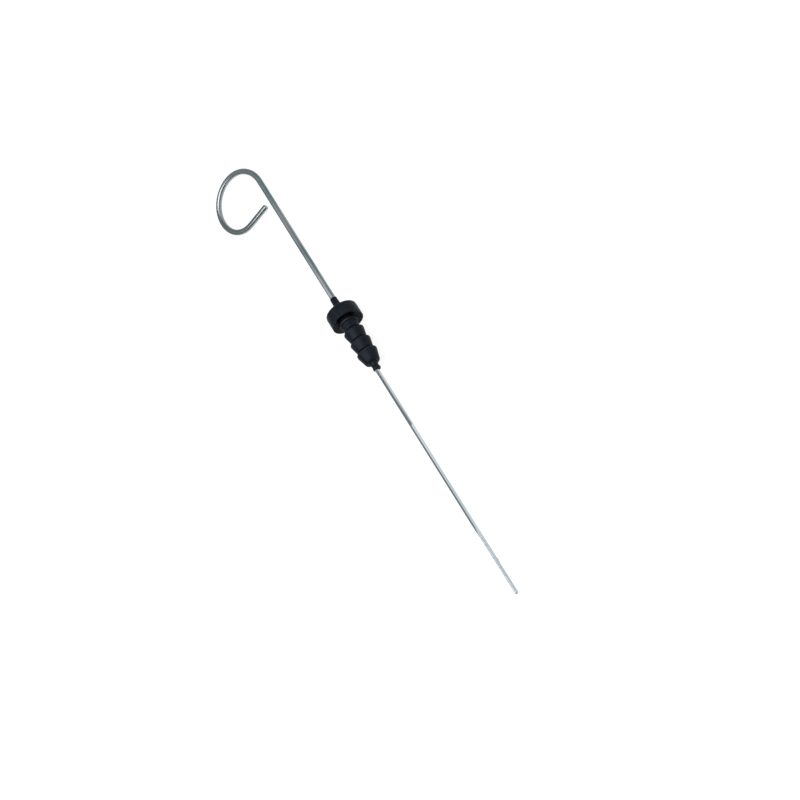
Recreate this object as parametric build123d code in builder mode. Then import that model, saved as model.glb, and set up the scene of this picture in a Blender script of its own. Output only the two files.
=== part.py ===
"""Engine oil dipstick with a finger loop and a barbed rubber plug, lying at rest on a flat surface.

Sizes are in millimetres. Along the stick, x counts from the rim of the plug's cap: plus towards
the loop, minus towards the tip. The lying pose is worked out from the sizes: it rests on the
upper edge of the cap and on the loop, with its tip in the air.
"""
import os
from math import asin, cos, hypot, radians, sin

from build123d import *

# Wire of the handle
wire_r = 2.0
wire_end_round = 0.5
bend_start = 129.8
bend_near_r = 23.6
bend_near_turn = 118.0
bend_far_r = 20.0
bend_far_turn = 150.0
tail_length = 19.2

# Drawn-down rod under the plug, flush with the wire on the loop's side
rod_r = 1.5
shoulder_x = -3.0
shoulder_length = 1.0

# Flat on one side of the rod, and gauge blade where a second flat faces it
flat_x = -86.9
flat_off = 0.6
flat_ramp = 1.2
blade_x = -170.0
blade_t = 0.95
blade_ramp = 8.0
mark_x = -192.9
mark_step = 0.3
mark_ramp = 0.8
tip_x = -220.0
tip_round = 1.6

# Cap of the plug
cap_r = 11.2
cap_height = 10.6
cap_crown = 0.7
cap_round = 2.0
rim_round = 0.5
rim_inner_round = 0.4
skirt_wall = 1.3
groove_depth = 4.5
groove_round = 0.6
collar_height = 9.5
collar_top_r = 2.4
collar_base_r = 2.75
collar_round = 0.8

# Boss, stem and barbs of the plug
barb_r = 7.25
boss_drop = 1.5
boss_round = 0.5
stem_r = 5.7
barb_count = 3
barb_first_x = -8.1
barb_pitch = 9.05
barb_land = 1.0
barb_ledge = 0.3
barb_round = 0.3
barb_foot_r = 5.8
notch_r = 4.4
notch_length = 1.4
notch_round = 0.2
last_foot_r = 5.1
last_round = 1.1

# Nipple that grips the rod
nipple_root_r = 3.0
nipple_neck_r = 2.5
nipple_lip_r = 2.85
nipple_length = 5.7
nipple_round = 0.25

# Roll at which its weight is over the line from the cap to the loop, in degrees
loop_droop = 2.5

# Fit of the rubber on the steel, and how far cutting shapes reach past what they cut
grip_gap = 0.02
spare = 1.0

rod_x = shoulder_x - shoulder_length
rod_aside = wire_r - rod_r
collar_x = cap_height + cap_crown + collar_height
wire_bore_r = wire_r + grip_gap
rod_bore_r = rod_r + grip_gap

# Centres of the two bends, in the loop's own plane
near_c = (bend_start, bend_near_r)
near_out = (sin(radians(bend_near_turn)), -cos(radians(bend_near_turn)))
far_c = (
    near_c[0] + (bend_near_r - bend_far_r) * near_out[0],
    near_c[1] + (bend_near_r - bend_far_r) * near_out[1],
)

# Lying pose: the cap's upper edge and the loop's far bend touch the surface
cap_slope = cap_crown / (cap_r - collar_base_r)
edge_x = cap_height + cap_round * (cap_slope - hypot(1, cap_slope))
fall = sin(radians(loop_droop))
pitch = 0.0
for settle in range(30):
    cap_z = (cap_r - cap_round) * cos(pitch) + cap_round
    bend_z = far_c[1] * fall * cos(pitch) + bend_far_r * hypot(sin(pitch), fall * cos(pitch)) + wire_r
    pitch = asin((cap_z - bend_z) / (far_c[0] - edge_x))
rim_z = cap_z + edge_x * sin(pitch)

along = Vector(cos(pitch), 0, -sin(pitch))
aside = Vector(-sin(pitch) * fall, cos(radians(loop_droop)), -cos(pitch) * fall)
upward = along.cross(aside)

# Middle of the space it takes up on the surface
x_high = near_c[0] * along.X + near_c[1] * aside.X + bend_near_r * hypot(along.X, aside.X) + wire_r
x_low = tip_x * along.X
y_high = far_c[1] * aside.Y + bend_far_r * aside.Y + wire_r
y_low = -cap_r
rim_at = Vector(-(x_high + x_low) / 2, -(y_high + y_low) / 2, rim_z)

rod_at = rim_at + aside * rod_aside

lie = Plane(origin=rim_at, x_dir=along, z_dir=upward)
rod_lie = Plane(origin=rod_at, x_dir=along, z_dir=upward)
rod_edge_on = Plane(origin=rod_at, x_dir=along, z_dir=-aside)
stick_axis = Axis(rim_at, along)


def across(x, middle=rim_at):
    """Plane square to the stick at a station along it, facing the loop."""
    return Plane(origin=middle + along * x, x_dir=aside, z_dir=along)


with BuildPart() as stick:
    # Handle: straight shank, two bends and a straight tail with a rounded end
    with BuildLine(lie) as handle_line:
        Line((shoulder_x, 0), (bend_start, 0))
        near_bend = JernArc((bend_start, 0), (1, 0), bend_near_r, bend_near_turn)
        far_bend = JernArc(near_bend @ 1, near_bend % 1, bend_far_r, bend_far_turn)
        tail = Line(far_bend @ 1, (far_bend @ 1) + (far_bend % 1) * tail_length)
    with BuildSketch(across(shoulder_x)):
        Circle(wire_r)
    sweep()
    tail_face = stick.faces().filter_by(GeomType.PLANE).sort_by_distance(tail @ 1)[0]
    fillet(tail_face.edges(), wire_end_round)

    # Shoulder where the wire is drawn down, and the round rod below it
    with BuildSketch(across(shoulder_x)):
        Circle(wire_r)
    with BuildSketch(across(rod_x, rod_at)):
        Circle(rod_r)
    loft()
    with BuildSketch(across(rod_x, rod_at)):
        Circle(rod_r)
    extrude(amount=tip_x - rod_x)

    # Flat on the side away from the loop, and the second flat that leaves the blade between them
    with BuildSketch(rod_lie):
        with BuildLine():
            Polyline(
                (flat_x, -rod_r - spare),
                (flat_x, -rod_r),
                (flat_x - flat_ramp, -flat_off),
                (tip_x - spare, -flat_off),
                (tip_x - spare, -rod_r - spare),
                close=True,
            )
        make_face()
        with BuildLine():
            Polyline(
                (blade_x, rod_r + spare),
                (blade_x, rod_r),
                (blade_x - blade_ramp, blade_t - flat_off),
                (tip_x - spare, blade_t - flat_off),
                (tip_x - spare, rod_r + spare),
                close=True,
            )
        make_face()
    extrude(amount=rod_r + spare, both=True, mode=Mode.SUBTRACT)

    # Level mark, a small step in the blade's lower edge, and the rounded tip
    with BuildSketch(rod_edge_on):
        with BuildLine():
            Polyline(
                (tip_x + tip_round, rod_r),
                (tip_x + tip_round, rod_r + spare),
                (tip_x - spare, rod_r + spare),
                (tip_x - spare, -rod_r - spare),
                (mark_x, -rod_r - spare),
                (mark_x, -rod_r),
                (mark_x - mark_ramp, mark_step - rod_r),
                (tip_x + tip_round, mark_step - rod_r),
            )
            ThreePointArc(
                (tip_x + tip_round, mark_step - rod_r),
                (tip_x, mark_step / 2),
                (tip_x + tip_round, rod_r),
            )
        make_face()
    extrude(amount=rod_r + spare, both=True, mode=Mode.SUBTRACT)
stick.part.label = "stick"

# Half section of the plug: corner and its rounding, from the collar's top round to the wire's bore
plug_corners = [
    ((collar_x, wire_bore_r), 0),
    ((collar_x, collar_top_r), 0),
    ((cap_height + cap_crown, collar_base_r), collar_round),
    ((cap_height, cap_r), cap_round),
    ((0, cap_r), rim_round),
    ((0, cap_r - skirt_wall), rim_inner_round),
    ((groove_depth, cap_r - skirt_wall), groove_round),
    ((groove_depth, barb_r), groove_round),
    ((-boss_drop, barb_r), boss_round),
    ((-boss_drop, stem_r), 0),
]
barb_x = barb_first_x
root_r = stem_r
for barb in range(barb_count):
    plug_corners.append(((barb_x + notch_length, root_r), notch_round))
    plug_corners.append(((barb_x + notch_length, notch_r), 0))
    plug_corners.append(((barb_x + barb_ledge, notch_r), 0))
    plug_corners.append(((barb_x, barb_r), barb_round))
    plug_corners.append(((barb_x - barb_land, barb_r), 0))
    barb_x -= barb_pitch
    root_r = barb_foot_r
plug_corners += [
    ((barb_x, last_foot_r), last_round),
    ((barb_x, nipple_root_r), nipple_round),
    ((barb_x - nipple_length * 0.2, nipple_root_r), 0),
    ((barb_x - nipple_length * 0.4, nipple_neck_r), nipple_round),
    ((barb_x - nipple_length * 0.65, nipple_neck_r), nipple_round),
    ((barb_x - nipple_length * 0.85, nipple_lip_r), nipple_round),
    ((barb_x - nipple_length, nipple_neck_r), 0),
    ((barb_x - nipple_length, 0), 0),
    ((shoulder_x, 0), 0),
    ((shoulder_x, wire_bore_r), 0),
]

with BuildPart() as plug:
    with BuildSketch(lie) as half_plug:
        with BuildLine():
            Polyline(*[corner for corner, rounding in plug_corners], close=True)
        make_face()
        for corner, rounding in plug_corners:
            if rounding > 0:
                fillet(half_plug.vertices().sort_by_distance(corner)[0], rounding)
    revolve(axis=stick_axis)

    # Bore for the shoulder and the rod
    with BuildSketch(across(shoulder_x)):
        Circle(wire_bore_r)
    with BuildSketch(across(rod_x, rod_at)):
        Circle(rod_bore_r)
    loft(mode=Mode.SUBTRACT)
    with BuildSketch(across(rod_x, rod_at)):
        Circle(rod_bore_r)
    extrude(amount=barb_x - nipple_length - spare - rod_x, mode=Mode.SUBTRACT)
plug.part.label = "plug"

os.makedirs("parts", exist_ok=True)
export_step(stick.part, "parts/stick.step")
export_step(plug.part, "parts/plug.step")
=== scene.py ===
import bmesh
import bpy
from math import atan2, cos, degrees, hypot, pi, radians, sin, sqrt
from mathutils import Matrix, Vector


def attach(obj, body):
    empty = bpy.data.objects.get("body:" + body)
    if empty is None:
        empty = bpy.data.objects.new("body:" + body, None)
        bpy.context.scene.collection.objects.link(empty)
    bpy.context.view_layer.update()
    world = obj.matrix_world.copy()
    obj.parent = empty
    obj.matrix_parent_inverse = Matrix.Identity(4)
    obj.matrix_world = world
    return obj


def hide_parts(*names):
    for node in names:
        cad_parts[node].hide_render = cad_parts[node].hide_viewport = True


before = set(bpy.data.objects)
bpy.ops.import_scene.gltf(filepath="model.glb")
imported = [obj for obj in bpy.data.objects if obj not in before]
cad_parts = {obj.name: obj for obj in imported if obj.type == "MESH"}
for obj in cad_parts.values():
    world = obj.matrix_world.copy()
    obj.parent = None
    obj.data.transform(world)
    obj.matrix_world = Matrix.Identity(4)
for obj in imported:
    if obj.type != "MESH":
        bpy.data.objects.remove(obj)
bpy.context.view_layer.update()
bpy.ops.object.select_all(action="DESELECT")
scene = bpy.context.scene
mm = 0.001
sameStation = 0.001  # millimetres between points of one ring
print("frame loaded:", sorted(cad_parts))

# how the stick lies; its own axes are x towards the loop, y towards the loop's far side, z up
lying = {
    "rimAt": (32.2793, -18.0235, 11.6589),  # middle of the cap's rim
    "pitch": 3.0912,
    "droop": 2.5,
}


def lyingMatrix():
    pitch, droop = radians(lying["pitch"]), radians(lying["droop"])
    along = Vector((cos(pitch), 0, -sin(pitch)))
    aside = Vector((-sin(pitch) * sin(droop), cos(droop), -cos(pitch) * sin(droop)))
    turned = Matrix((along, aside, along.cross(aside))).transposed().to_4x4()
    return Matrix.Translation(Vector(lying["rimAt"]) * mm) @ turned


def layDown(piece):
    # takes a piece made along the stick's own axes to where it lies
    bpy.ops.object.mode_set(mode="OBJECT")
    bpy.ops.object.select_all(action="DESELECT")
    piece.select_set(True)
    bpy.context.view_layer.objects.active = piece
    piece.matrix_world = lyingMatrix()
    bpy.ops.object.transform_apply(location=True, rotation=True, scale=True)


def pickVerts(piece, test):
    # selects the points whose place, in millimetres, passes a test
    mesh = bmesh.from_edit_mesh(piece.data)
    bpy.ops.mesh.select_mode(type="VERT")
    bpy.ops.mesh.select_all(action="DESELECT")
    for v in mesh.verts:
        v.select = bool(test(v.co / mm))
    mesh.select_flush_mode()
    bmesh.update_edit_mesh(piece.data)


def pickFaces(piece, test):
    # selects the faces whose middle, in millimetres, and normal pass a test
    mesh = bmesh.from_edit_mesh(piece.data)
    bpy.ops.mesh.select_mode(type="FACE")
    bpy.ops.mesh.select_all(action="DESELECT")
    for f in mesh.faces:
        f.select = bool(test(f.calc_center_median() / mm, f.normal))
    mesh.select_flush_mode()
    bmesh.update_edit_mesh(piece.data)


def pickRing(piece, x, r, tol=0.02):
    # selects the ring of edges at one station and radius of a turned piece
    mesh = bmesh.from_edit_mesh(piece.data)
    bpy.ops.mesh.select_mode(type="EDGE")
    bpy.ops.mesh.select_all(action="DESELECT")
    found = 0
    for e in mesh.edges:
        e.select = all(
            abs(v.co.x / mm - x) < tol and abs(hypot(v.co.y, v.co.z) / mm - r) < tol for v in e.verts)
        found += e.select
    bmesh.update_edit_mesh(piece.data)
    return found


def extrudeBy(x=0.0, y=0.0, z=0.0):
    bpy.ops.mesh.extrude_region_move(TRANSFORM_OT_translate={"value": (x * mm, y * mm, z * mm)})


def keepOwnPlace(piece, name):
    # stores each point's place along the stick's own axes, for patterns that follow the shape
    piece.data.attributes.new(name, "FLOAT_VECTOR", "POINT")
    places = [value for v in piece.data.vertices for value in v.co]
    piece.data.attributes[name].data.foreach_set("vector", places)


# the rubber plug, turned from its half section
plugShape = {
    "steps": 120,
    "collarTop": 20.8,
    "collarTopR": 2.4,
    "collarBaseR": 2.75,
    "capTop": 10.6,
    "crown": 0.7,
    "capR": 11.2,
    "skirtWall": 1.3,
    "grooveDepth": 4.5,
    "bossDrop": 1.5,
    "stemR": 5.7,
    "barbs": 3,
    "barbR": 7.25,
    "barbFirst": -8.1,
    "barbPitch": 9.05,
    "barbLand": 1.0,
    "barbLedge": 0.3,
    "barbFootR": 5.8,
    "notchR": 4.4,
    "notchLength": 1.4,
    "lastFootR": 5.1,
    "nippleRootR": 3.0,
    "nippleNeckR": 2.5,
    "nippleLipR": 2.85,
    "nippleLength": 5.7,
    "wireBoreR": 2.02,
    "rodBoreR": 1.52,
    "rodAside": 0.5,
    "shoulder": -3.0,
    "shoulderLength": 1.0,
    "collarLip": 0.12,  # roundings, down the outside
    "collarRound": 0.8,
    "capRound": 1.9,
    "rimRound": 0.5,
    "rimInnerRound": 0.4,
    "grooveRound": 0.6,
    "bossRound": 0.5,
    "stemRound": 0.2,
    "notchLip": 0.2,
    "notchRound": 0.15,
    "barbRound": 0.3,
    "landRound": 0.4,
    "lastRound": 1.0,
    "nippleRootRound": 0.25,
    "nippleRound": 0.3,
    "nippleEndRound": 0.1,
    "nippleAt": (0.2, 0.4, 0.65, 0.85),  # shares of its length: root, start and end of the neck, bead
    "roundSegments": 4,
    "mergeGap": 0.002,
    "smoothBelow": 40,  # degrees between faces
    "seamAt": 124.5,  # degrees round from the loop's side
    "seamHeight": 0.05,
    "seamFacing": 0.3,  # how far a face looks outwards to carry the seam
    "seamFootGap": 1.5,
    "seamCollarGap": 0.6,
    "liftAt": 124.5,  # where the soft skirt stands off the boss, in degrees as above
    "liftHalf": (30, 41),  # full to here on each side, and gone by here
    "lift": 0.8,
    "sag": 0.7,  # all round elsewhere
    "slit": 0.14,  # share of the groove's width that stays open there
    "rimReach": 0.6,  # part of the skirt that lifts and sags
    "outerSkin": 0.8,  # part of the skirt that stays round
}


def plugSection():
    # corners of the half section and the rounding of each
    s = plugShape
    skirtR = s["capR"] - s["skirtWall"]
    section = [
        (s["collarTop"], s["wireBoreR"], 0),
        (s["collarTop"], s["collarTopR"], s["collarLip"]),
        (s["capTop"] + s["crown"], s["collarBaseR"], s["collarRound"]),
        (s["capTop"], s["capR"], s["capRound"]),
        (0, s["capR"], s["rimRound"]),
        (0, skirtR, s["rimInnerRound"]),
        (s["grooveDepth"], skirtR, s["grooveRound"]),
        (s["grooveDepth"], s["barbR"], s["grooveRound"]),
        (-s["bossDrop"], s["barbR"], s["bossRound"]),
        (-s["bossDrop"], s["stemR"], s["stemRound"]),
    ]
    barbX, rootR = s["barbFirst"], s["stemR"]
    for barb in range(s["barbs"]):
        section.append((barbX + s["notchLength"], rootR, s["notchLip"]))
        section.append((barbX + s["notchLength"], s["notchR"], s["notchRound"]))
        section.append((barbX + s["barbLedge"], s["notchR"], s["notchRound"]))
        section.append((barbX, s["barbR"], s["barbRound"]))
        section.append((barbX - s["barbLand"], s["barbR"], s["landRound"]))
        barbX -= s["barbPitch"]
        rootR = s["barbFootR"]
    rootEnd, neckStart, neckEnd, bead = [barbX - s["nippleLength"] * share for share in s["nippleAt"]]
    nippleEnd = barbX - s["nippleLength"]
    section += [
        (barbX, s["lastFootR"], s["lastRound"]),
        (barbX, s["nippleRootR"], s["nippleRootRound"]),
        (rootEnd, s["nippleRootR"], s["nippleRound"]),
        (neckStart, s["nippleNeckR"], s["nippleRound"]),
        (neckEnd, s["nippleNeckR"], s["nippleRound"]),
        (bead, s["nippleLipR"], s["nippleRound"]),
        (nippleEnd, s["nippleNeckR"], s["nippleEndRound"]),
        (nippleEnd, s["rodBoreR"], 0),
        (s["shoulder"] - s["shoulderLength"], s["rodBoreR"], 0),
        (s["shoulder"], s["wireBoreR"], 0),
    ]
    return section, barbX


def shapeSkirt(plug):
    # the skirt stands off the boss on one side, and closes in on it all round elsewhere
    s = plugShape
    full, none = s["liftHalf"]
    bossSkin, grooveTop = s["barbR"] + 0.02, s["grooveDepth"] + 0.1  # a little past both
    mesh = bmesh.from_edit_mesh(plug.data)
    for v in mesh.verts:
        x, r = v.co.x / mm, hypot(v.co.y, v.co.z) / mm
        if r < bossSkin or x > grooveTop:
            continue
        turn = abs((degrees(atan2(v.co.z, v.co.y)) - s["liftAt"] + 180) % 360 - 180)
        near = min(1, max(0, (none - turn) / (none - full)))
        near = near * near * (3 - 2 * near)  # eases in and out
        if x < s["rimReach"]:
            v.co.x += (s["lift"] * near - s["sag"] * (1 - near)) * mm
        if r < s["capR"] - s["outerSkin"]:
            shrink = (s["barbR"] + (r - s["barbR"]) * (near + s["slit"] * (1 - near))) / r
            v.co.y *= shrink
            v.co.z *= shrink
    bmesh.update_edit_mesh(plug.data)


def makePlug():
    s = plugShape
    section, barbEnd = plugSection()
    bpy.ops.mesh.primitive_plane_add(size=0.01, enter_editmode=True)
    plug = bpy.context.object
    plug.name = "rubberPlug"
    bpy.ops.mesh.merge(type="CENTER")
    bpy.ops.transform.translate(value=(section[0][0] * mm, section[0][1] * mm, 0))
    for last, here in zip(section, section[1:]):
        extrudeBy(here[0] - last[0], here[1] - last[1])
    ends = (section[0], section[-1])
    pickVerts(plug, lambda p: any(hypot(p.x - e[0], p.y - e[1]) < sameStation for e in ends))
    bpy.ops.mesh.edge_face_add()  # closes the half section
    bpy.ops.mesh.select_all(action="SELECT")
    bpy.ops.mesh.spin(steps=s["steps"], angle=2 * pi, center=(0, 0, 0), axis=(1, 0, 0))
    bpy.ops.mesh.select_all(action="SELECT")
    bpy.ops.mesh.remove_doubles(threshold=s["mergeGap"] * mm)
    bpy.ops.mesh.normals_make_consistent(inside=False)
    for x, r, rounding in section:
        if rounding > 0 and pickRing(plug, x, r):
            bpy.ops.mesh.bevel(
                offset=rounding * mm, segments=s["roundSegments"], profile=0.5, affect="EDGES")

    shapeSkirt(plug)

    # the hole for the rod is out of the middle, towards the loop's side
    halfDown = s["shoulder"] - s["shoulderLength"] / 2
    pickVerts(plug, lambda p: p.x < halfDown and hypot(p.y, p.z) < s["rodBoreR"] + 0.01)
    bpy.ops.transform.translate(value=(0, s["rodAside"] * mm, 0))

    # raised line where the two halves of the mould met
    halfStep = 180 / s["steps"]
    seams = (s["seamAt"], s["seamAt"] - 180)

    def onSeam(p, normal):
        turn = degrees(atan2(p.z, p.y))
        outward = normal.y * p.y + normal.z * p.z
        near = any(abs(turn - seam) < halfStep for seam in seams)
        clear = p.x > barbEnd + s["seamFootGap"] and hypot(p.y, p.z) > s["collarTopR"] + s["seamCollarGap"]
        return near and clear and outward > s["seamFacing"]

    pickFaces(plug, onSeam)
    bpy.ops.mesh.extrude_region_shrink_fatten(
        TRANSFORM_OT_shrink_fatten={"value": s["seamHeight"] * mm, "use_even_offset": True})
    bpy.ops.mesh.select_all(action="SELECT")
    bpy.ops.mesh.normals_make_consistent(inside=False)
    bpy.ops.object.mode_set(mode="OBJECT")
    bpy.ops.object.shade_smooth_by_angle(angle=radians(s["smoothBelow"]))
    keepOwnPlace(plug, "plugPlace")
    layDown(plug)
    return plug


plug = makePlug()
print("plug turned:", len(plug.data.polygons), "faces")

# the steel wire: loop handle, drawn-down rod, pressed flat and gauge blade
stickShape = {
    "sides": 48,
    "wireR": 2.0,
    "bendStart": 129.8,
    "nearR": 23.6,
    "nearTurn": 118.0,
    "farR": 20.0,
    "farTurn": 150.0,
    "tail": 19.2,
    "endRound": 0.5,
    "shoulder": -3.0,
    "shoulderLength": 1.0,
    "rodR": 1.5,
    "rodAside": 0.5,
    "flatAt": -86.9,
    "flatRamp": 1.2,
    "flatOff": 0.6,
    "bladeAt": -170.0,
    "bladeRamp": 8.0,
    "bladeT": 0.95,
    "markAt": -192.9,
    "markRamp": 0.8,
    "markStep": 0.3,
    "burr": 0.4,  # raised where the mark was struck, gone by burrEnd
    "burrEnd": -197.9,
    "tip": -220.0,
    "tipRound": 1.6,
    "tipRises": (0.35, 0.65, 0.88, 1.0),  # shares of the rounding at which it has a ring
    "tipBlunt": 0.03,
    "nearSteps": 44,
    "farSteps": 56,
    "endSegments": 4,
    "mergeGap": 0.001,
    "smoothBelow": 28,  # degrees between faces
}


def bendCentres():
    s = stickShape
    turn = radians(s["nearTurn"])
    near = Vector((s["bendStart"], s["nearR"], 0))
    far = near + (s["nearR"] - s["farR"]) * Vector((sin(turn), -cos(turn), 0))
    return near, far


def pressFlat(stick, x, side, off):
    # presses the ring at one station flat on one side, this far from the rod's middle
    faceY = stickShape["rodAside"] + side * off
    pickVerts(stick, lambda p: abs(p.x - x) < sameStation and side * (p.y - faceY) > 0)
    bpy.ops.transform.resize(value=(1, 0, 1), center_override=(x * mm, faceY * mm, 0))


def trimLow(stick, x, lowZ):
    # takes the ring's lower edge back to one height
    pickVerts(stick, lambda p: abs(p.x - x) < sameStation and p.z < lowZ)
    bpy.ops.transform.resize(value=(1, 1, 0), center_override=(x * mm, 0, lowZ * mm))


def raiseBurr(stick, x, lowZ):
    # pushes the ring's edge below one height out
    pickVerts(stick, lambda p: abs(p.x - x) < sameStation and p.z < lowZ)
    bpy.ops.transform.translate(value=(0, 0, -stickShape["burr"] * mm))


def makeStick():
    s = stickShape
    near, far = bendCentres()
    bpy.ops.mesh.primitive_circle_add(
        vertices=s["sides"], radius=s["wireR"] * mm,
        location=(s["shoulder"] * mm, 0, 0), rotation=(0, pi / 2, 0))
    stick = bpy.context.object
    stick.name = "wireStick"
    bpy.ops.object.transform_apply(location=True, rotation=True, scale=True)
    bpy.ops.object.mode_set(mode="EDIT")
    bpy.ops.mesh.select_mode(type="VERT")
    bpy.ops.mesh.select_all(action="SELECT")

    # handle: shank, two bends and the tail with its rounded end
    extrudeBy(x=s["bendStart"] - s["shoulder"])
    for steps, bend, centre in (("nearSteps", "nearTurn", near), ("farSteps", "farTurn", far)):
        bpy.ops.mesh.spin(
            steps=s[steps], angle=radians(s[bend]), center=centre * mm, axis=(0, 0, -1))
    turn = radians(s["nearTurn"] + s["farTurn"])
    extrudeBy(x=cos(turn) * s["tail"], y=sin(turn) * s["tail"])
    bpy.ops.mesh.edge_face_add()
    bpy.ops.mesh.bevel(offset=s["endRound"] * mm, segments=s["endSegments"], affect="EDGES")

    # from the shoulder down: one ring at each station where the section changes
    wireSkin = s["wireR"] + 0.01
    pickVerts(stick, lambda p: abs(p.x - s["shoulder"]) < sameStation and hypot(p.y, p.z) < wireSkin)
    extrudeBy(x=-s["shoulderLength"], y=s["rodAside"])
    shrink = s["rodR"] / s["wireR"]
    at = s["shoulder"] - s["shoulderLength"]
    bpy.ops.transform.resize(
        value=(1, shrink, shrink), center_override=(at * mm, s["rodAside"] * mm, 0))
    stations = [
        s["flatAt"], s["flatAt"] - s["flatRamp"],
        s["bladeAt"], s["bladeAt"] - s["bladeRamp"],
        s["markAt"], s["markAt"] - s["markRamp"], s["burrEnd"],
        s["tip"] + s["tipRound"],
    ]
    tipStations = [(rise, s["tip"] + s["tipRound"] * (1 - rise)) for rise in s["tipRises"]]
    for x in stations + [x for rise, x in tipStations]:
        extrudeBy(x=x - at)
        at = x
    bpy.ops.mesh.edge_face_add()
    lowZ = s["markStep"] - s["rodR"]
    for x in stations[1:] + [x for rise, x in tipStations]:
        pressFlat(stick, x, -1, s["flatOff"])
        if x < s["bladeAt"]:
            pressFlat(stick, x, 1, s["bladeT"] - s["flatOff"])
        if x <= s["burrEnd"]:
            trimLow(stick, x, lowZ)
        elif x < s["markAt"]:
            raiseBurr(stick, x, lowZ)
    for rise, x in tipStations:
        pickVerts(stick, lambda p: abs(p.x - x) < sameStation)
        width = sqrt(max(0.0, 1 - rise * rise)) * (1 - s["tipBlunt"]) + s["tipBlunt"]
        bpy.ops.transform.resize(
            value=(1, 1, width), center_override=(x * mm, 0, s["markStep"] / 2 * mm))
    bpy.ops.mesh.select_all(action="SELECT")
    bpy.ops.mesh.remove_doubles(threshold=s["mergeGap"] * mm)
    bpy.ops.mesh.normals_make_consistent(inside=False)
    bpy.ops.object.mode_set(mode="OBJECT")
    bpy.ops.object.shade_smooth_by_angle(angle=radians(s["smoothBelow"]))
    unrollWire(stick)
    layDown(stick)
    return stick


def unrollWire(stick):
    # stores each point's run along the wire and its place across it, for grain that follows the bends
    s = stickShape
    near, far = bendCentres()
    nearRun = s["nearR"] * radians(s["nearTurn"])
    farRun = s["farR"] * radians(s["farTurn"])
    turn = radians(s["nearTurn"] + s["farTurn"])
    tailFrom = far + s["farR"] * Vector((sin(turn), -cos(turn), 0))
    tailWay = Vector((cos(turn), sin(turn), 0))
    tailSide = Vector((-tailWay.y, tailWay.x, 0))
    bends = (
        (near, s["nearR"], 0, s["nearTurn"], s["bendStart"]),
        (far, s["farR"], s["nearTurn"], s["nearTurn"] + s["farTurn"], s["bendStart"] + nearRun),
    )
    runs = []
    for v in stick.data.vertices:
        p = v.co / mm
        options = []
        if p.x <= s["bendStart"] + 0.01:
            options.append((abs(p.y), p.x, p.y))
        for centre, r, first, last, start in bends:
            angle = degrees(atan2(p.x - centre.x, centre.y - p.y)) % 360
            if first - 0.5 <= angle <= last + 0.5:
                across = r - hypot(p.x - centre.x, p.y - centre.y)
                options.append((abs(across), start + r * radians(angle - first), across))
        reach = (p - tailFrom).dot(tailWay)
        if reach >= -0.01:
            across = (p - tailFrom).dot(tailSide)
            options.append((abs(across), s["bendStart"] + nearRun + farRun + reach, across))
        nearest = min(options)
        runs += [nearest[1] * mm, nearest[2] * mm, p.z * mm]
    stick.data.attributes.new("wireRun", "FLOAT_VECTOR", "POINT")
    stick.data.attributes["wireRun"].data.foreach_set("vector", runs)


stick = makeStick()
print("stick made:", len(stick.data.polygons), "faces")

for piece, node, finish in ((plug, "plug", "rubber"), (stick, "stick", "steel")):
    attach(piece, "root")
    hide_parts(node)


def newMaterial(name):
    made = bpy.data.materials.new(name)
    made.use_nodes = True
    tree = made.node_tree
    return made, tree, tree.nodes["Principled BSDF"]


def addNode(tree, kind, **values):
    node = tree.nodes.new(kind)
    for key, value in values.items():
        if key in node.inputs:
            node.inputs[key].default_value = value
        else:
            setattr(node, key, value)
    return node


def stretched(tree, source, scale):
    node = addNode(tree, "ShaderNodeMapping", Scale=scale)
    tree.links.new(source, node.inputs["Vector"])
    return node.outputs["Vector"]


def noiseOf(tree, source, scale=1.0, detail=4.0, roughness=0.55):
    node = addNode(tree, "ShaderNodeTexNoise", Scale=scale, Detail=detail, Roughness=roughness)
    tree.links.new(source, node.inputs["Vector"])
    return node.outputs["Fac"]


def spread(tree, source, fromMin, fromMax, toMin=0.0, toMax=1.0, smooth=False):
    node = addNode(tree, "ShaderNodeMapRange")
    node.interpolation_type = "SMOOTHSTEP" if smooth else "LINEAR"
    for key, value in (("From Min", fromMin), ("From Max", fromMax), ("To Min", toMin), ("To Max", toMax)):
        node.inputs[key].default_value = value
    tree.links.new(source, node.inputs["Value"])
    return node.outputs["Result"]


def maths(tree, operation, a, b):
    node = addNode(tree, "ShaderNodeMath", operation=operation)
    for socket, value in zip(node.inputs, (a, b)):
        if isinstance(value, (int, float)):
            socket.default_value = value
        else:
            tree.links.new(value, socket)
    return node.outputs[0]


def blend(tree, amount, a, b, kind="MIX"):
    node = addNode(tree, "ShaderNodeMix", data_type="RGBA", blend_type=kind)
    for index, value in ((0, amount), (6, a), (7, b)):
        if isinstance(value, (int, float, tuple)):
            node.inputs[index].default_value = value
        else:
            tree.links.new(value, node.inputs[index])
    return node.outputs[2]


def colourRamp(tree, source, stops):
    node = addNode(tree, "ShaderNodeValToRGB")
    ramp = node.color_ramp
    while len(ramp.elements) < len(stops):
        ramp.elements.new(0.5)
    for element, (position, colour) in zip(ramp.elements, stops):
        element.position, element.color = position, colour
    tree.links.new(source, node.inputs["Fac"])
    return node.outputs["Color"]


def band(tree, source, ends):
    # one between the middle two values, nothing beyond the outer two
    start, full, fade, end = ends
    return maths(tree, "MULTIPLY", spread(tree, source, start, full), spread(tree, source, end, fade))


def axesOf(tree, source):
    node = addNode(tree, "ShaderNodeSeparateXYZ")
    tree.links.new(source, node.inputs["Vector"])
    return [node.outputs[axis] for axis in "XYZ"]


def bumpOf(tree, height, strength, distance, below=None):
    node = addNode(tree, "ShaderNodeBump", Strength=strength, Distance=distance)
    tree.links.new(height, node.inputs["Height"])
    if below:
        tree.links.new(below, node.inputs["Normal"])
    return node.outputs["Normal"]


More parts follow.
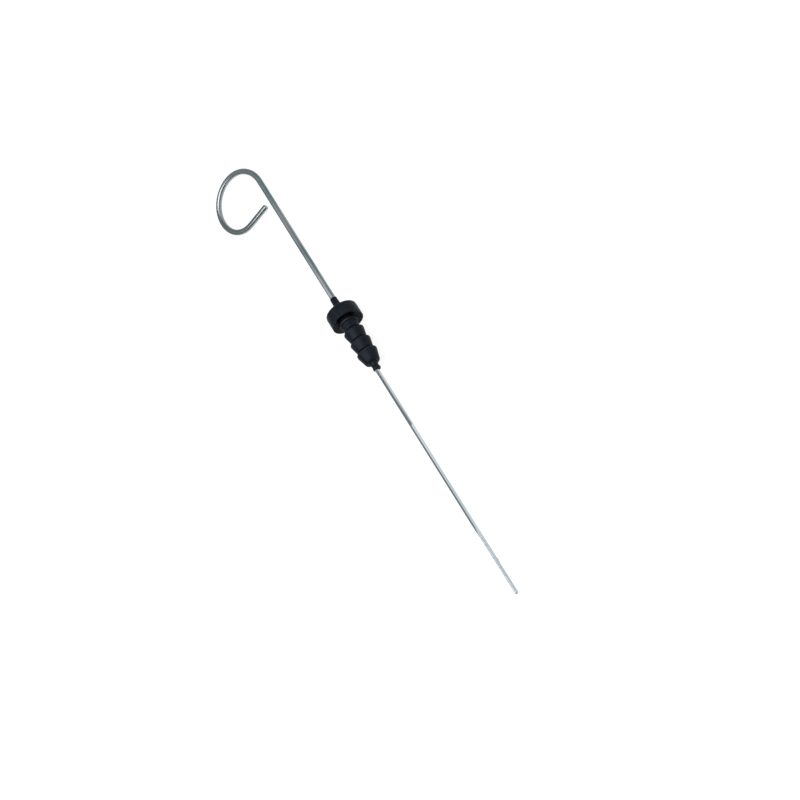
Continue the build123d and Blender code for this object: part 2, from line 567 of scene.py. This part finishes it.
rubberLook = {
    "black": (0.0056, 0.0078, 0.0132, 1),
    "grey": (0.0165, 0.0208, 0.0296, 1),
    "scuff": (0.036, 0.041, 0.050, 1),
    # painted highlight: a lighter colour on the boss's edge
    "paintedBossHighlight": (0.058, 0.063, 0.070, 1),
    "paintedRecessShade": (0.0024, 0.0029, 0.0038, 1),  # painted shade: near-black inside the groove and the notches
    "cloudScale": 140.0,
    "grainScale": 2600.0,
    "flowStretch": (50.0, 620.0, 620.0),  # lines along the mould
    "flowRange": (0.44, 0.64),
    "flowShare": 0.8,
    "wornRange": (0.45, 0.75),  # rubbed tops of the barbs
    "wornShare": 0.5,
    "barbTopR": (0.0070, 0.00725),  # places on the plug, in metres
    "barbsFrom": (-0.0065, -0.0072),
    "bossEdge": (-0.0019, -0.0015, -0.0012, -0.0008),
    "bossR": (0.0066, 0.0070),
    "bossHighlightAt": (-0.0014, -0.0028, 0.0067),  # where the painted highlight on the boss's edge is brightest
    "bossHighlightReach": (0.0015, 0.005),
    "bossHighlightLeast": 0.05,
    "grooveRun": (-0.0010, -0.0005, 0.0047, 0.0050),
    "grooveR": (0.0109, 0.0104),
    "notchRun": (-0.0268, -0.0262, -0.0060, -0.0055),
    "notchR": (0.0056, 0.0048),
    "nippleFrom": (-0.0350, -0.0356),
    "gloss": 0.07,
    "roughRange": (0.3, 0.7),
    "roughLow": 0.28,
    "roughHigh": 0.5,
    "grooveRougher": 0.35,
    "nippleSmoother": 0.14,
    "flowBump": (0.25, 0.00004),  # strength and height
    "grainBump": (0.2, 0.00002),
}


def rubberMaterial():
    look = rubberLook
    made, tree, shader = newMaterial("mouldedRubber")
    shader.inputs["Specular IOR Level"].default_value = look["gloss"]
    place = addNode(tree, "ShaderNodeAttribute", attribute_name="plugPlace").outputs["Vector"]
    along, aside, upward = axesOf(tree, place)
    squares = [maths(tree, "POWER", axis, 2.0) for axis in (aside, upward)]
    radius = maths(tree, "SQRT", maths(tree, "ADD", *squares), 0.0)

    def part(run, radii):
        # where the plug is within a run along it and a range of radius
        return maths(tree, "MULTIPLY", band(tree, along, look[run]), spread(tree, radius, *look[radii]))

    cloud = noiseOf(tree, place, look["cloudScale"], detail=6.0, roughness=0.6)
    flow = noiseOf(tree, stretched(tree, place, look["flowStretch"]), roughness=0.6)
    grain = noiseOf(tree, place, look["grainScale"], detail=3.0, roughness=0.6)
    tone = blend(tree, cloud, look["black"], look["grey"])
    lined = blend(tree, spread(tree, flow, *look["flowRange"], 0.0, look["flowShare"]), tone, look["grey"])
    worn = maths(tree, "MULTIPLY", spread(tree, radius, *look["barbTopR"], smooth=True),
                 spread(tree, cloud, *look["wornRange"], 0.0, look["wornShare"]))
    onBarb = spread(tree, along, *look["barbsFrom"])
    colour = blend(tree, maths(tree, "MULTIPLY", worn, onBarb), lined, look["scuff"])
    # painted highlight: the boss's edge is lighter, brightest at one place and fading away from it, for
    # light caught by its rounded edge
    fromBossHighlight = addNode(tree, "ShaderNodeVectorMath", operation="DISTANCE")
    tree.links.new(place, fromBossHighlight.inputs[0])
    fromBossHighlight.inputs[1].default_value = look["bossHighlightAt"]
    bossHighlightFade = spread(tree, fromBossHighlight.outputs["Value"], *look["bossHighlightReach"], 1.0, look["bossHighlightLeast"])
    paintedBossHighlight = maths(tree, "MULTIPLY", part("bossEdge", "bossR"), bossHighlightFade)
    colour = blend(tree, paintedBossHighlight, colour, look["paintedBossHighlight"])
    inGroove = part("grooveRun", "grooveR")
    # painted shade: the groove under the cap and the notches between the barbs are darkened to near-black,
    # where little light reaches
    paintedShade = maths(tree, "MAXIMUM", inGroove, part("notchRun", "notchR"))
    colour = blend(tree, paintedShade, colour, look["paintedRecessShade"])
    tree.links.new(colour, shader.inputs["Base Color"])
    rough = spread(tree, flow, *look["roughRange"], look["roughLow"], look["roughHigh"])
    rough = maths(tree, "ADD", rough, maths(tree, "MULTIPLY", inGroove, look["grooveRougher"]))
    onNipple = spread(tree, along, *look["nippleFrom"])
    rough = maths(tree, "SUBTRACT", rough, maths(tree, "MULTIPLY", onNipple, look["nippleSmoother"]))
    tree.links.new(rough, shader.inputs["Roughness"])
    low = bumpOf(tree, flow, *look["flowBump"])
    tree.links.new(bumpOf(tree, grain, *look["grainBump"], low), shader.inputs["Normal"])
    return made


steelLook = {
    "blade": (0.565, 0.615, 0.64, 1),
    "flat": (0.49, 0.565, 0.60, 1),  # bluer between the rod and the blade
    "rod": (0.58, 0.635, 0.665, 1),
    "nearPlug": (0.45, 0.49, 0.52, 1),
    "handle": (0.37, 0.40, 0.415, 1),
    "blued": (0.285, 0.37, 0.395, 1),  # just before the bend
    "loop": (0.37, 0.405, 0.42, 1),
    "teal": (0.20, 0.29, 0.31, 1),
    "straw": (0.40, 0.38, 0.31, 1),
    "line": (0.42, 0.45, 0.46, 1),
    "mark": (0.40, 0.435, 0.455, 1),  # darker on the lower part of the blade along the struck mark
    "runEnds": (-0.22, 0.26),  # stretch of wire, in metres, that the stops below share out
    # the handle, near-plug and loop tones are darker than the rod's partly as painted shade, for the
    # dimmer reflections where the handle lies low by the floor; the rest is the plating's own tint
    "tones": [
        (0.0, "blade"), (0.10, "flat"), (0.18, "flat"), (0.24, "rod"), (0.37, "rod"),
        (0.45, "nearPlug"), (0.54, "nearPlug"), (0.62, "handle"), (0.66, "handle"),
        (0.70, "blued"), (0.72, "blued"), (0.77, "loop"), (1.0, "loop")],
    "roughness": [
        (0.085, "bladeRough"), (0.105, "rodRough"), (0.40, "rodRough"), (0.46, "handleRough"),
        (0.72, "handleRough"), (0.78, "topRough"), (0.82, "sideRough"), (0.875, "sideRough"),
        (0.90, "topRough"), (0.925, "topRough"), (0.945, "tailRough")],
    "rodRough": 0.11,
    "bladeRough": 0.5,
    "handleRough": 0.58,
    "topRough": 0.48,  # top and bottom of the loop
    "sideRough": 0.34,  # far side of the loop
    "tailRough": 0.25,
    "roughSway": 0.04,
    "swayRange": (0.3, 0.7),
    "lineStretch": (9.0, 760.0, 760.0),  # drawing lines
    "lineRange": (0.42, 0.64),
    "lineShare": 0.75,
    "lineBump": (0.35, 0.00004),  # strength and height
    "scratchStretch": (60.0, 5200.0, 5200.0),
    "scratchBump": (0.15, 0.00001),
    "platingStretch": (26.0, 160.0, 160.0),
    "tealRange": (0.48, 0.7),
    "tealShare": 0.8,
    "strawRange": (0.45, 0.3),
    "strawShare": 0.7,
    "handleFrom": (-0.02, 0.02),  # along the wire, in metres
    "markRun": (-0.1985, -0.1942, -0.1936, -0.1931),
    "markLow": (-0.0002, -0.0010),
}


def steelMaterial():
    look = steelLook
    made, tree, shader = newMaterial("zincWire")
    shader.inputs["Metallic"].default_value = 1.0
    run = addNode(tree, "ShaderNodeAttribute", attribute_name="wireRun").outputs["Vector"]
    along, upward = axesOf(tree, run)[::2]
    lines = noiseOf(tree, stretched(tree, run, look["lineStretch"]), detail=3.0, roughness=0.6)
    scratch = noiseOf(tree, stretched(tree, run, look["scratchStretch"]), detail=2.0, roughness=0.5)
    plating = noiseOf(tree, stretched(tree, run, look["platingStretch"]), detail=5.0, roughness=0.6)
    zone = spread(tree, along, *look["runEnds"])
    base = colourRamp(tree, zone, [(at, look[key]) for at, key in look["tones"]])
    onHandle = spread(tree, along, *look["handleFrom"])
    tealPart = spread(tree, plating, *look["tealRange"], 0.0, look["tealShare"])
    tinted = blend(tree, maths(tree, "MULTIPLY", tealPart, onHandle), base, look["teal"])
    strawPart = spread(tree, plating, *look["strawRange"], 0.0, look["strawShare"])
    tinted = blend(tree, maths(tree, "MULTIPLY", strawPart, onHandle), tinted, look["straw"])
    linePart = spread(tree, lines, *look["lineRange"], 0.0, look["lineShare"])
    lined = blend(tree, linePart, tinted, look["line"], "MULTIPLY")
    struck = maths(tree, "MULTIPLY", band(tree, along, look["markRun"]),
                   spread(tree, upward, *look["markLow"]))
    tree.links.new(blend(tree, struck, lined, look["mark"]), shader.inputs["Base Color"])
    stops = [(at, (look[key],) * 3 + (1,)) for at, key in look["roughness"]]
    sway = spread(tree, lines, *look["swayRange"], -look["roughSway"], look["roughSway"])
    rough = maths(tree, "ADD", colourRamp(tree, zone, stops), sway)
    tree.links.new(rough, shader.inputs["Roughness"])
    low = bumpOf(tree, lines, *look["lineBump"])
    tree.links.new(bumpOf(tree, scratch, *look["scratchBump"], low), shader.inputs["Normal"])
    return made


for piece, finish in ((plug, rubberMaterial()), (stick, steelMaterial())):
    piece.data.materials.clear()
    piece.data.materials.append(finish)
print("rubber and steel made")

stageSet = {
    "floorSize": 30.0,
    "floorColour": (0.24, 0.24, 0.24, 1),
    "floorGlow": 0.88,  # only as the camera and reflections see it
    "roomColour": (0.94, 0.97, 1.0, 1),
    "roomStrength": (0.07, 0.28),  # on the tip's side and on the loop's side
    "roomTurn": (-0.4, 0.4),  # where the one goes over into the other
}


def makeFloor():
    bpy.ops.mesh.primitive_plane_add(size=stageSet["floorSize"])
    floor = bpy.context.object
    floor.name = "paleFloor"
    made, tree, shader = newMaterial("paleFloor")
    tree.nodes.remove(shader)
    matt = addNode(tree, "ShaderNodeBsdfDiffuse", Color=stageSet["floorColour"])
    glow = addNode(tree, "ShaderNodeEmission")
    path = addNode(tree, "ShaderNodeLightPath")
    seen = maths(tree, "MAXIMUM", path.outputs["Is Camera Ray"], path.outputs["Is Glossy Ray"])
    seen = maths(tree, "MAXIMUM", seen, path.outputs["Is Transmission Ray"])
    tree.links.new(maths(tree, "MULTIPLY", seen, stageSet["floorGlow"]), glow.inputs["Strength"])
    both = addNode(tree, "ShaderNodeAddShader")
    tree.links.new(matt.outputs[0], both.inputs[0])
    tree.links.new(glow.outputs[0], both.inputs[1])
    tree.links.new(both.outputs[0], tree.nodes["Material Output"].inputs["Surface"])
    floor.data.materials.append(made)


makeFloor()

lamps = [
    {
        "name": "overheadPanel", "at": (-0.1, -0.3, 1.2), "to": (-0.1, -0.3, 0),
        "size": (0.8, 1.5), "watts": 15,
    },
    {
        "name": "sideCard", "at": (0.24, -0.6, 0.22), "to": (0.1, 0, 0.05),
        "size": (0.34, 0.44), "watts": 0.3,
    },
    {
        "name": "farCard", "at": (-0.31, 0.61, 1.02), "to": (0.17, 0, 0),
        "size": (0.5, 0.5), "watts": 1.5,
    },
]


def makeLamps():
    for lamp in lamps:
        bpy.ops.object.light_add(type="AREA", location=lamp["at"])
        made = bpy.context.object
        made.name = lamp["name"]
        made.data.energy = lamp["watts"]
        made.data.shape = "RECTANGLE"
        made.data.size, made.data.size_y = lamp["size"]
        back = Vector(lamp["at"]) - Vector(lamp["to"])
        made.rotation_euler = back.to_track_quat("Z", "Y").to_euler()
    room = bpy.data.worlds.new("softRoom")
    scene.world = room
    room.use_nodes = True
    tree = room.node_tree
    glow = tree.nodes["Background"]
    glow.inputs["Color"].default_value = stageSet["roomColour"]
    way = axesOf(tree, addNode(tree, "ShaderNodeTexCoord").outputs["Generated"])[0]
    strength = spread(tree, way, *stageSet["roomTurn"], *stageSet["roomStrength"], smooth=True)
    tree.links.new(strength, glow.inputs["Strength"])


makeLamps()

cameraSet = {
    "at": (-473.44, -563.84, 923.26),
    "heading": 51.20,
    "elevation": 52.46,
    "roll": -91.35,
    "lens": 80.15,
    "sensor": 36.0,
    "clipStart": 0.01,
}


def makeCamera():
    c = cameraSet
    heading, down, roll = radians(c["heading"]), radians(c["elevation"]), radians(c["roll"])
    ahead = Vector((cos(down) * cos(heading), cos(down) * sin(heading), -sin(down)))
    level = Vector((sin(heading), -cos(heading), 0))
    upright = level.cross(ahead)
    right = cos(roll) * level + sin(roll) * upright
    top = -sin(roll) * level + cos(roll) * upright
    bpy.ops.object.camera_add()
    camera = bpy.context.object
    camera.name = "photoCamera"
    turned = Matrix((right, top, -ahead)).transposed().to_4x4()
    camera.matrix_world = Matrix.Translation(Vector(c["at"]) * mm) @ turned
    camera.data.lens = c["lens"]
    camera.data.sensor_width = c["sensor"]
    camera.data.clip_start = c["clipStart"]
    scene.camera = camera


makeCamera()
scene.view_settings.view_transform = "Standard"
print("floor, lamps and camera set")
